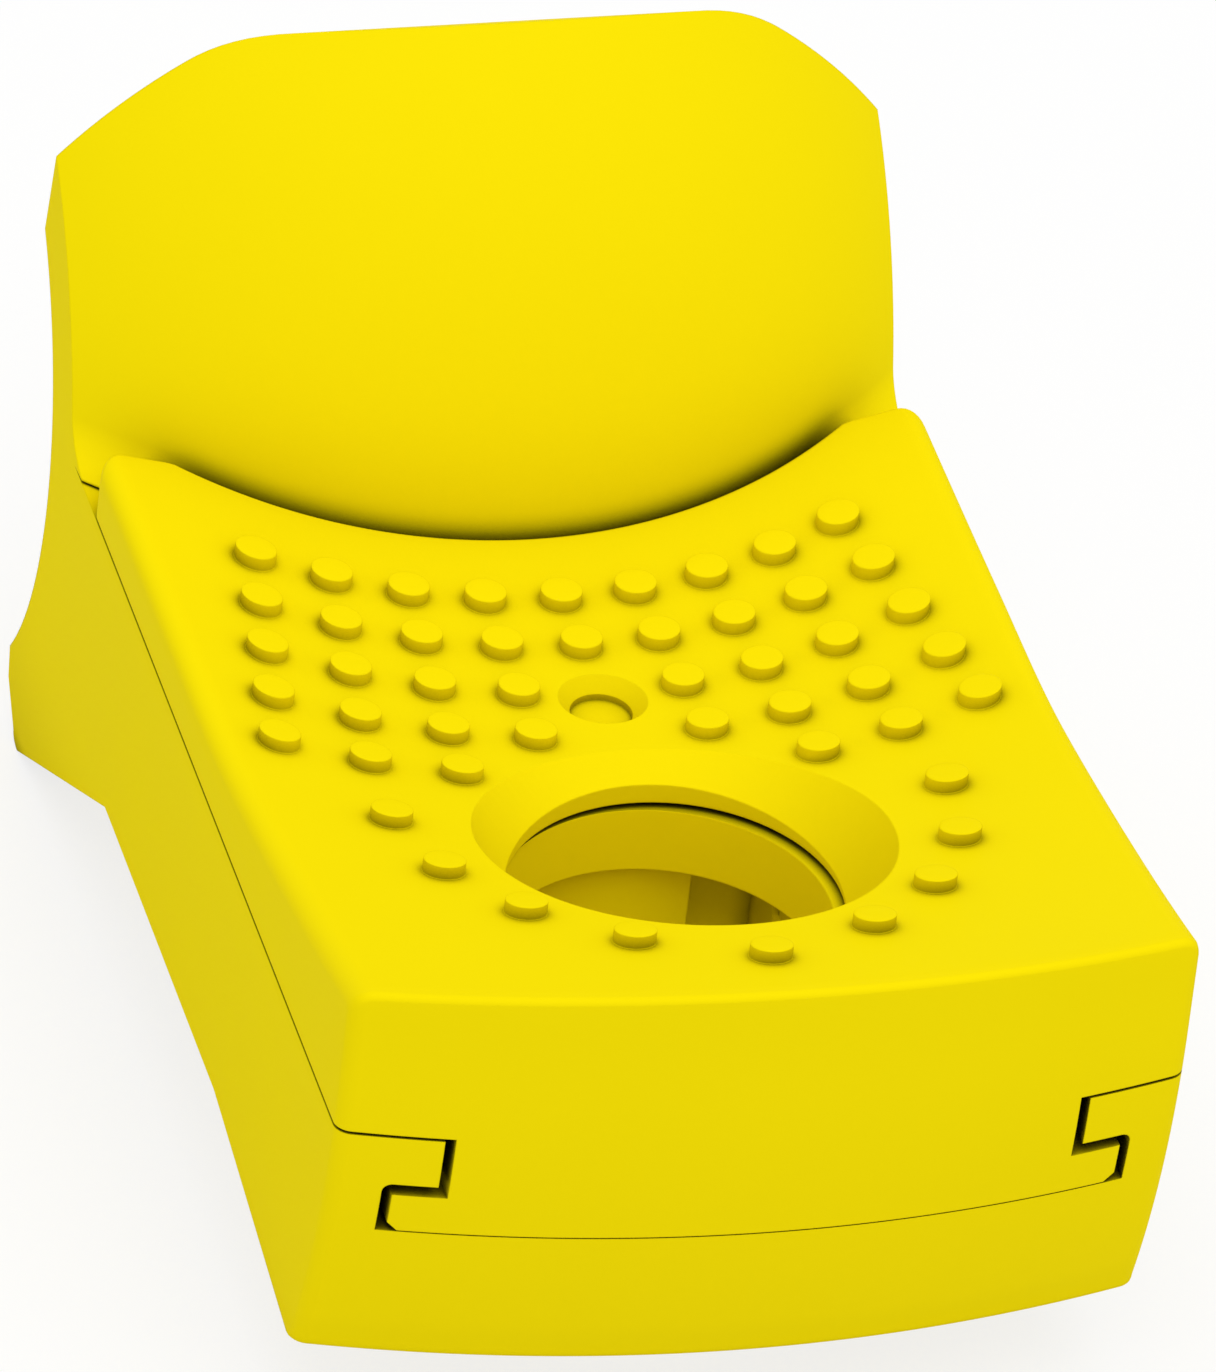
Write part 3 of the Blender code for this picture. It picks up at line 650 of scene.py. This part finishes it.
@dataclass
class SlideCover:
    """Moulded cover: scooped top, fanned studs, dovetail flanges and padlock hole."""

    body: Body
    shield: ShieldShape
    rails: Rails
    holes: Holes
    length: float = 31.0
    shield_gap: float = 0.3
    rear_round: float = 0.9
    side_round: float = 0.7
    edge_round: float = 0.3
    top_level: float = 0.27
    top_slope: float = 0.275
    knee_y: float = 16.0
    knee_softness: float = 3.7
    trough_front: float = 0.0008
    trough_rear: float = 0.0093
    trough_rim: float = 0.000011
    trough_y: float = -2.0
    trough_length: float = 24.0
    stud_radius: float = 0.62
    stud_height: float = 0.44
    stud_sink: float = 0.3
    stud_foot: float = 0.03
    stud_edge: float = 0.03
    stud_sides: int = 32
    small_room: float = 1.215
    fan_y: float = 78.0
    fan_step: float = np.radians(2.41)
    row_y: float = 44.9
    row_radius: float = 20.7
    row_pitch: float = 2.43
    rows: int = 5
    half_count: int = 4
    arc_radius: float = 7.77
    arc_swell: float = 1.25
    arc_nearest: float = np.radians(-30.0)
    arc_step: float = np.radians(25.375)
    arc_half_count: int = 4
    pin_x: float = 8.6
    pin_y: float = 8.0
    pin_room: float = 1.05
    slot_top: float = -2.44
    travel: float = 12.0
    overrun: float = 0.3
    cover_sharp: float = 14.0
    stud_sharp: float = 50.0

    def top(self, x: np.ndarray, y: np.ndarray) -> np.ndarray:
        """Top surface: a knee along Y, the root of a square plus its side, and a trough across X."""
        ahead = self.knee_y - y
        knee = 0.5 * self.top_slope * (np.sqrt(ahead * ahead + self.knee_softness**2) + ahead)
        ease = smoothstep((y - self.trough_y) / self.trough_length)
        trough = self.trough_front + (self.trough_rear - self.trough_front) * ease
        return self.top_level + knee + trough * x * x + self.trough_rim * ease * x**4

    def rear(self, x: np.ndarray) -> np.ndarray:
        """Rear edge: the smaller of the arc outside the shield and the straight end."""
        radius = float(self.shield.radius(np.array(0.0))) + self.shield_gap
        arc = self.shield.axis_y - np.sqrt(radius * radius - x * x)
        straight = self.length - round_drop(self.body.half_width - np.abs(x), self.rear_round)
        return np.minimum(arc, straight)

    def block(self) -> bpy.types.Object:
        """Block skinned through sections across X, each rounded at its top front and rear edges.

        Each section runs up the front face, over a quarter round, back along the top, over
        the rear round, and down the rear edge.

        Returns:
            The closed block.
        """
        x = self.body.stations(self.rear_round, 40, 10)
        low = -self.rails.groove_depth + self.rails.seam
        drop = round_drop(self.body.half_width - np.abs(x), self.side_round)
        rear = self.rear(x)
        edge = self.edge_round
        level = self.top(x, np.zeros_like(x)) - drop
        rise = np.linspace(0.0, 1.0, 14)
        z_front = low + (level[:, None] - edge - low) * rise[None, :]
        y_front = self.body.front(x[:, None], z_front)
        turn = np.linspace(0.0, np.pi / 2.0, 7)[1:]
        start = y_front[:, -1:]
        y_round = start + edge * (1.0 - np.cos(turn))[None, :]
        z_base = self.top(x[:, None], y_round) - drop[:, None]
        z_round = z_base - edge + edge * np.sin(turn)[None, :]
        along = np.linspace(0.0, 1.0, 70)[1:]
        first = start + edge
        last = rear[:, None] - edge
        y_top = first + (last - first) * along[None, :]
        z_top = self.top(x[:, None], y_top) - drop[:, None]
        y_back = last + edge * np.sin(turn)[None, :]
        z_back = self.top(x[:, None], y_back) - drop[:, None] - edge * (1.0 - np.cos(turn))[None, :]
        y_foot = rear[:, None]
        z_foot = np.full_like(y_foot, low)
        y = np.concatenate([y_front, y_round, y_top, y_back, y_foot], axis=1)
        z = np.concatenate([z_front, z_round, z_top, z_back, z_foot], axis=1)
        rings = np.stack([np.broadcast_to(x[:, None], y.shape), y, z], axis=-1)
        return skin("cover_moulding", rings)

    def dovetail(self, side: Side) -> bpy.types.Object:
        """Space beside the neck and flange on one side, as a prism along Y."""
        r = self.rails
        neck = r.lip_half - r.side_gap
        flange = r.groove_half - r.side_gap
        top = -r.lip_depth - r.top_gap
        low = -r.groove_depth + r.seam
        outline = [
            (FAR, r.top_seam / 2.0),
            (neck, r.top_seam / 2.0),
            (neck, top),
            (flange, top),
            (flange, low + r.flange_chamfer),
            (flange - r.flange_chamfer, low),
            (flange - r.flange_chamfer, -FAR),
            (FAR, -FAR),
        ]
        return prism_y("cover_dovetail", [(side.value * x, z) for x, z in outline], -FAR, FAR)

    def stud_centres(self) -> np.ndarray:
        """Centres of the studs: fanned rows, less those too near a hole, and an arc round the front."""
        places = []
        room = self.holes.lock_radius + self.holes.lock_chamfer + self.stud_radius
        small_room = self.holes.small_radius + self.small_room
        for row in range(self.rows):
            radius = self.row_radius + self.row_pitch * row
            for column in range(-self.half_count, self.half_count + 1):
                lean = self.fan_step * column
                x = (self.fan_y - self.row_y + radius) * np.sin(lean)
                reach = self.fan_y - self.row_y + np.sqrt(radius * radius - x * x)
                x = reach * np.tan(lean)
                y = self.row_y - np.sqrt(radius * radius - x * x)
                near_lock = np.hypot(x, y - self.holes.lock_y) < room
                near_small = np.hypot(x, y - self.holes.small_y) < small_room
                if near_lock or near_small or (column == 0 and row > 1):
                    continue
                places.append((x, y))
        for i in range(-self.arc_half_count, self.arc_half_count + 1):
            angle = -np.pi / 2.0 + self.arc_step * abs(i)
            radius = self.arc_radius + self.arc_swell * (angle - self.arc_nearest) ** 2
            side = 1.0 if i > 0 else -1.0
            places.append((side * radius * np.cos(angle), self.holes.lock_y + radius * np.sin(angle)))
        return np.array(places)

    def studs(self) -> bpy.types.Object:
        """All the studs in one mesh, each turned from one profile that follows the top.

        The height at a point is top(x, y) of its own place plus the profile's height.

        Returns:
            Closed studs, sunk into the top.
        """
        r, h, foot, edge = self.stud_radius, self.stud_height, self.stud_foot, self.stud_edge
        turn = np.linspace(0.0, np.pi / 2.0, 5)
        flare = np.column_stack([r + foot * (1.0 - np.sin(turn)), foot * (1.0 - np.cos(turn))])
        crown = np.column_stack([r - edge + edge * np.cos(turn), h - edge + edge * np.sin(turn)])
        profile = np.concatenate([[[r + foot, -self.stud_sink]], flare, crown, [[(r - edge) * 0.5, h]]])
        sides = self.stud_sides
        points, faces = [], []
        for index, (cx, cy) in enumerate(self.stud_centres()):
            rings = turned_rings(profile, (float(cx), float(cy)), sides)
            rings[..., 2] += self.top(rings[..., 0], rings[..., 1])
            points.append(rings.reshape(-1, 3))
            faces += ring_faces(len(profile), sides, False, index * len(profile) * sides)
        cloud = np.concatenate(points)
        if signed_volume(cloud, faces) < 0.0:
            faces = [face[::-1] for face in faces]
        return mesh_object("cover_studs", cloud, faces)

    def sunk_hole(
        self,
        name: str,
        centre_y: float,
        radius: float,
        width: float,
        front: float,
        inner: np.ndarray,
        floor: float = -FAR,
    ) -> bpy.types.Object:
        """Cutter of a hole whose countersink's rim follows the top.

        At angle a the rim is at top(rim point), and the countersink runs straight from there
        to the inner edge's height.

        Args:
            name: the object's name.
            centre_y: Y of the hole's axis.
            radius: the bore's radius.
            width: the countersink's width.
            front: how much wider it is at the front.
            inner: height of the countersink's inner edge at each angle.
            floor: height of the bore's bottom.

        Returns:
            The closed cutter.
        """
        angle = ring_angles(len(inner))
        wide = radius + width + front * np.maximum(-np.sin(angle), 0.0) ** 2
        rim = self.top(wide * np.cos(angle), centre_y + wide * np.sin(angle))
        over = self.overrun
        steps = [
            (radius, np.full_like(inner, floor)),
            (radius, inner),
            (wide, rim),
            (wide + over * width, rim + over * (rim - inner)),
            (wide + over * width, np.full_like(inner, FAR)),
        ]
        rings = [np.stack([a * np.cos(angle), centre_y + a * np.sin(angle), z], axis=-1) for a, z in steps]
        return skin(name, np.stack(rings))

    def build(self, surface: bpy.types.Material) -> list[bpy.types.Object]:
        """Make the cover's moulding and its studs.

        Args:
            surface: the cover's finish.

        Returns:
            The finished pieces.
        """
        r = self.rails
        cover = self.block()
        for side in Side:
            combine(cover, self.dovetail(side), Operation.CUT)
        channel = r.deck_half + r.side_gap
        roof = r.deck_top + GAP
        wall = r.deck_front - GAP
        combine(cover, box("channel", (-channel, wall, -FAR), (channel, FAR, roof)), Operation.CUT)
        for side in Side:
            middle = side.value * self.pin_x
            low = (middle - self.pin_room, self.pin_y - self.pin_room, -FAR)
            high = (middle + self.pin_room, self.pin_y + self.travel + self.pin_room, self.slot_top)
            combine(cover, box("stop_slot", low, high), Operation.CUT)
        h = self.holes
        lock = self.sunk_hole("lock", h.lock_y, h.lock_radius, h.lock_chamfer, h.lock_front, h.lock_sink())
        combine(cover, lock, Operation.CUT)
        level = float(self.top(np.array(0.0), np.array(h.small_y))) - h.small_depth
        sink = np.full(h.small_sides, level)
        floor = roof + h.small_floor
        small = self.sunk_hole("small", h.small_y, h.small_radius, h.small_chamfer, 0.0, sink, floor)
        combine(cover, small, Operation.CUT)
        studs = self.studs()
        dress(cover, surface, self.cover_sharp)
        dress(studs, surface, self.stud_sharp)
        return [cover, studs]


# ------------------------------------------------------------------ base housing


@dataclass
class BaseHousing:
    """Moulded base: nose, rails, deck, rear foot and curved shield."""

    body: Body
    shield: ShieldShape
    rails: Rails
    holes: Holes
    depth: float = 7.5
    nose_extra: float = 1.5
    nose_y: float = 12.25
    foot_y: float = 26.2
    tip_y: float = 35.9
    heel_y: float = 37.6
    heel_z: float = -10.9
    wall: float = 3.0
    bay_front: float = 4.9
    bay_rear: float = 15.6
    divider: float = 3.0
    recess_x: float = 2.2
    recess_depth: float = 2.2
    rail_floor: float = 1.5
    rail_end: float = 34.0
    deck_overlap: float = 0.05
    screw_y: float = 23.2
    screw_radius: float = 1.5
    head_radius: float = 2.5
    head_height: float = 1.05
    pin_x: float = 8.6
    pin_y: float = 8.0
    pin_radius: float = 0.95
    pin_depth: float = 1.14
    toe_edge: float = 0.4
    tip_length: float = 0.6
    tip_height: float = 0.35
    running_gap: float = 0.08
    bolt_x: float = 4.0
    bolt_y: float = 19.55
    bolt_radius: float = 0.7
    bolt_depth: float = 1.3

    def block(self) -> bpy.types.Object:
        """Block skinned through sections across X.

        Each section runs up the leaning front, back along the parting plane, down past the
        heel to the rounded foot tip, and forward along the underside to the nose.

        Returns:
            The closed block.
        """
        x = self.body.stations(self.body.corner_round, 30, 6)
        top = -self.rails.top_seam / 2.0
        nose = -self.depth - self.nose_extra
        edge = self.toe_edge
        rise = np.linspace(0.0, 1.0, 16)
        z_front = np.broadcast_to(nose + edge + (top - nose - edge) * rise, (len(x), len(rise)))
        y_front = self.body.front(x[:, None], z_front)
        turn = np.linspace(0.0, np.pi / 2.0, 6)
        tip_y = self.tip_y + self.tip_length * np.sin(turn)
        tip_z = LOWEST_Z + self.tip_height * (1.0 - np.cos(turn))
        rear_y = np.concatenate([[self.heel_y + 2.0, self.heel_y], tip_y[::-1], [self.foot_y, self.nose_y]])
        rear_z = np.concatenate([[top, self.heel_z], tip_z[::-1], [-self.depth, -self.depth]])
        toe_y = y_front[:, :1] + edge * (1.0 - np.cos(turn))[::-1][None, :-1]
        toe_z = nose + edge * (1.0 - np.sin(turn))[::-1][None, :-1]
        shape = (len(x), len(rear_y))
        y = np.concatenate([y_front, np.broadcast_to(rear_y, shape), toe_y], axis=1)
        z = np.concatenate(
            [z_front, np.broadcast_to(rear_z, shape), np.broadcast_to(toe_z, toe_y.shape)], axis=1
        )
        rings = np.stack([np.broadcast_to(x[:, None], y.shape), y, z], axis=-1)
        return skin("base_moulding", rings)

    def groove(self, side: Side) -> bpy.types.Object:
        """Space in the base between deck and rail on one side, as a prism along Y."""
        r = self.rails
        turn = np.linspace(0.0, np.pi / 2.0, 7)
        arc_x = r.groove_half - r.groove_round * (1.0 - np.cos(turn))
        arc_z = -r.lip_depth - r.groove_round * (1.0 - np.sin(turn))
        outline = [(r.deck_half, FAR), (r.deck_half, -r.groove_depth), (r.groove_half, -r.groove_depth)]
        outline += list(zip(arc_x.tolist(), arc_z.tolist()))
        outline += [(r.lip_half, -r.lip_depth), (r.lip_half, FAR)]
        return prism_y("groove", [(side.value * x, z) for x, z in outline], -FAR, self.rail_end)

    def hollow(self, name: str, low: float, high: float) -> bpy.types.Object:
        """Hollow in the underside: wide below the grooves, narrower up under the deck."""
        floor = -self.rails.groove_depth - self.rail_floor
        roof = self.rails.deck_top - self.rails.deck_thick
        inner = self.rails.deck_half - self.rails.deck_side
        wide = self.body.half_width - self.wall
        half = [(wide, -FAR), (wide, floor), (inner, floor), (inner, roof)]
        return prism_y(name, half + [(-x, z) for x, z in reversed(half)], low, high)

    def build(self, surface: bpy.types.Material) -> list[bpy.types.Object]:
        """Make the base's moulding.

        Args:
            surface: the base's finish.

        Returns:
            The finished piece, in a list.
        """
        r, h = self.rails, self.holes
        base = self.block()
        for side in Side:
            combine(base, self.groove(side), Operation.CUT)
        wide = r.deck_half + self.deck_overlap
        combine(base, box("step", (-wide, -FAR, -r.groove_depth), (wide, r.deck_front, FAR)), Operation.CUT)
        combine(base, box("deck", (-wide, -FAR, r.deck_top), (wide, self.rail_end, FAR)), Operation.CUT)
        shell = self.shield.solid("shield_outer", 0.0, LOWEST_Z + 3.0, 16.0, toe=True)
        combine(shell, self.shield.trim(self.body.half_width), Operation.KEEP)
        combine(base, shell, Operation.ADD)
        inner = self.shield.solid("shield_inner", self.shield.thick, -15.0, 14.9, toe=False)
        combine(base, inner, Operation.CUT)
        pocket = self.bay_rear + self.divider
        combine(base, self.hollow("bay", self.bay_front, self.bay_rear), Operation.CUT)
        combine(base, self.hollow("pocket", pocket, self.foot_y), Operation.CUT)
        roof = r.deck_top - r.deck_thick
        side_x = r.deck_half - r.deck_side - GAP
        low = (self.recess_x, self.bay_rear - 0.5, -FAR)
        high = (side_x, self.bay_rear + self.recess_depth, roof - 0.1)
        combine(base, box("recess", low, high), Operation.CUT)
        lock_at = (h.base_shift, h.lock_y)
        combine(base, rod("lock", lock_at, h.base_radius, -FAR, FAR, h.lock_sides), Operation.CUT)
        screw_at = (0.0, self.screw_y)
        low_z = r.deck_top - self.head_height - GAP
        combine(base, rod("head", screw_at, self.head_radius + GAP, low_z, FAR, 96), Operation.CUT)
        shank = self.screw_radius + self.running_gap
        combine(base, rod("shank", screw_at, shank, -FAR, FAR, 64), Operation.CUT)
        for side in Side:
            pin_at = (side.value * self.pin_x, self.pin_y)
            low_z = -r.groove_depth - self.pin_depth
            combine(base, rod("pin", pin_at, self.pin_radius, low_z, -r.lip_depth - 0.1), Operation.CUT)
            bolt_at = (side.value * self.bolt_x, self.bolt_y)
            high_z = roof + self.bolt_depth
            combine(base, rod("bolt", bolt_at, self.bolt_radius, roof - 1.0, high_z), Operation.CUT)
        return [dress(base, surface)]


# ------------------------------------------------------------------ stage


@dataclass(frozen=True)
class Studio:
    """Floor, soft light and camera.

    camera_at is in the part's millimetres, and aim turns the camera about X, Y and Z in turn.
    """

    lens: float = 640.0
    sensor: float = 36.0
    camera_at: tuple[float, float, float] = (-179.05, -531.25, 406.22)
    aim: tuple[float, float, float] = (54.80077, -5.70616, -14.02)
    world: float = 0.64
    sun: float = 1.31
    sun_from: tuple[float, float, float] = (0.0, -0.318, 0.948)
    sun_size: float = np.radians(60.0)
    floor_half: float = 3.0
    floor_tone: float = 0.8
    floor_glow: float = 1.05
    floor_share: float = 0.75

    def build(self) -> None:
        """Add the floor, the world's light, the overhead light and the camera."""
        self.floor()
        self.light()
        self.camera()

    def floor(self) -> None:
        """Pale floor under the foot, lifted towards white where the camera sees it."""
        mesh = bpy.data.meshes.new("studio_floor")
        size = self.floor_half
        corners = [(-size, -size, 0.0), (size, -size, 0.0), (size, size, 0.0), (-size, size, 0.0)]
        mesh.from_pydata(corners, [], [(0, 1, 2, 3)])
        made = bpy.data.objects.new("studio_floor", mesh)
        bpy.context.scene.collection.objects.link(made)
        paint = bpy.data.materials.new("pale_floor")
        paint.use_nodes = True
        nodes, links = paint.node_tree.nodes, paint.node_tree.links
        shader = nodes["Principled BSDF"]
        shader.inputs["Base Color"].default_value = (*[self.floor_tone] * 3, 1.0)
        shader.inputs["Roughness"].default_value = 0.9
        shader.inputs["Specular IOR Level"].default_value = 0.0
        path = add_node(nodes, "ShaderNodeLightPath", {})
        share = add_node(nodes, "ShaderNodeMath", {1: self.floor_share}, operation="MULTIPLY")
        glow = add_node(nodes, "ShaderNodeEmission", {"Strength": self.floor_glow})
        blend = add_node(nodes, "ShaderNodeMixShader", {})
        links.new(path.outputs["Is Camera Ray"], share.inputs[0])
        links.new(share.outputs[0], blend.inputs["Fac"])
        links.new(shader.outputs["BSDF"], blend.inputs[1])
        links.new(glow.outputs["Emission"], blend.inputs[2])
        links.new(blend.outputs["Shader"], nodes["Material Output"].inputs["Surface"])
        mesh.materials.append(paint)

    def light(self) -> None:
        """Even world light and one broad light from above and in front."""
        world = bpy.data.worlds.new("studio_world")
        world.use_nodes = True
        back = world.node_tree.nodes["Background"]
        back.inputs["Color"].default_value = (1.0, 1.0, 1.0, 1.0)
        back.inputs["Strength"].default_value = self.world
        bpy.context.scene.world = world
        data = bpy.data.lights.new("overhead", "SUN")
        data.energy = self.sun
        data.angle = self.sun_size
        made = bpy.data.objects.new("overhead", data)
        made.rotation_mode = "QUATERNION"
        made.rotation_quaternion = Vector(self.sun_from).to_track_quat("Z", "Y")
        bpy.context.scene.collection.objects.link(made)
        bpy.context.scene.view_settings.view_transform = "Standard"

    def camera(self) -> None:
        """Long-lens camera from the front left and above."""
        data = bpy.data.cameras.new("studio_camera")
        data.sensor_fit = "VERTICAL"
        data.sensor_height = self.sensor
        data.lens = self.lens
        data.clip_start = 0.01
        data.clip_end = 20.0
        made = bpy.data.objects.new("studio_camera", data)
        turn = Euler(np.radians(self.aim).tolist()).to_matrix().to_4x4()
        at = place(np.array(self.camera_at))
        made.matrix_world = Matrix.Translation(Vector(at.tolist())) @ turn
        bpy.context.scene.collection.objects.link(made)
        bpy.context.scene.camera = made


# ------------------------------------------------------------------ whole object


@dataclass
class Hardware:
    """Finishes for the clamp's metal and rubber, which keep their own meshes."""

    steel: Metal = field(default_factory=lambda: Metal("plated_steel", (0.66, 0.67, 0.69), (0.5, 0.5, 0.53)))
    black: Metal = field(
        default_factory=lambda: Metal("blackened_steel", (0.12, 0.12, 0.13), (0.05, 0.05, 0.05), 0.45)
    )
    rubber: Moulded = field(
        default_factory=lambda: Moulded("pad_rubber", (0.035, 0.035, 0.035), (0.02, 0.02, 0.02), 0.8, 0.3)
    )

    def build(self, group: bpy.types.NodeTree) -> None:
        """Put the finishes on the nodes that stay.

        Args:
            group: the shared skin group.
        """
        steel = self.steel.make(group)
        black = self.black.make(group)
        rubber = self.rubber.make(group)
        chosen = {"retaining_ring": black, "jaw_pad": rubber}
        for name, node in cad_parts.items():
            if name in ("base_housing", "slide_cover"):
                continue
            for slot in node.material_slots:
                slot.material = chosen.get(name, steel)
            LOG.info("dressed %s", name)


def main() -> None:
    """Build the stage, both mouldings and the hardware's finishes."""
    logging.basicConfig(level=logging.INFO, format="%(name)s: %(message)s")
    group = moulded_group()
    yellow = ((0.955, 0.775, 0.002), (0.94, 0.76, 0.0018))
    base_finish = Moulded("yellow_base", *yellow).make(group)
    cover_finish = Moulded("yellow_cover", *yellow).make(group)
    Studio().build()
    body, shield, rails, holes = Body(), ShieldShape(), Rails(), Holes()
    base = BaseHousing(body, shield, rails, holes)
    for piece in base.build(base_finish):
        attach(piece, "base")
        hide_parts("base_housing")
        LOG.info("built %s with %d faces", piece.name, len(piece.data.polygons))
    cover = SlideCover(body, shield, rails, holes)
    for piece in cover.build(cover_finish):
        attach(piece, "cover")
        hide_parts("slide_cover")
        LOG.info("built %s with %d faces", piece.name, len(piece.data.polygons))
    Hardware().build(group)


if __name__ == "__main__":
    main()
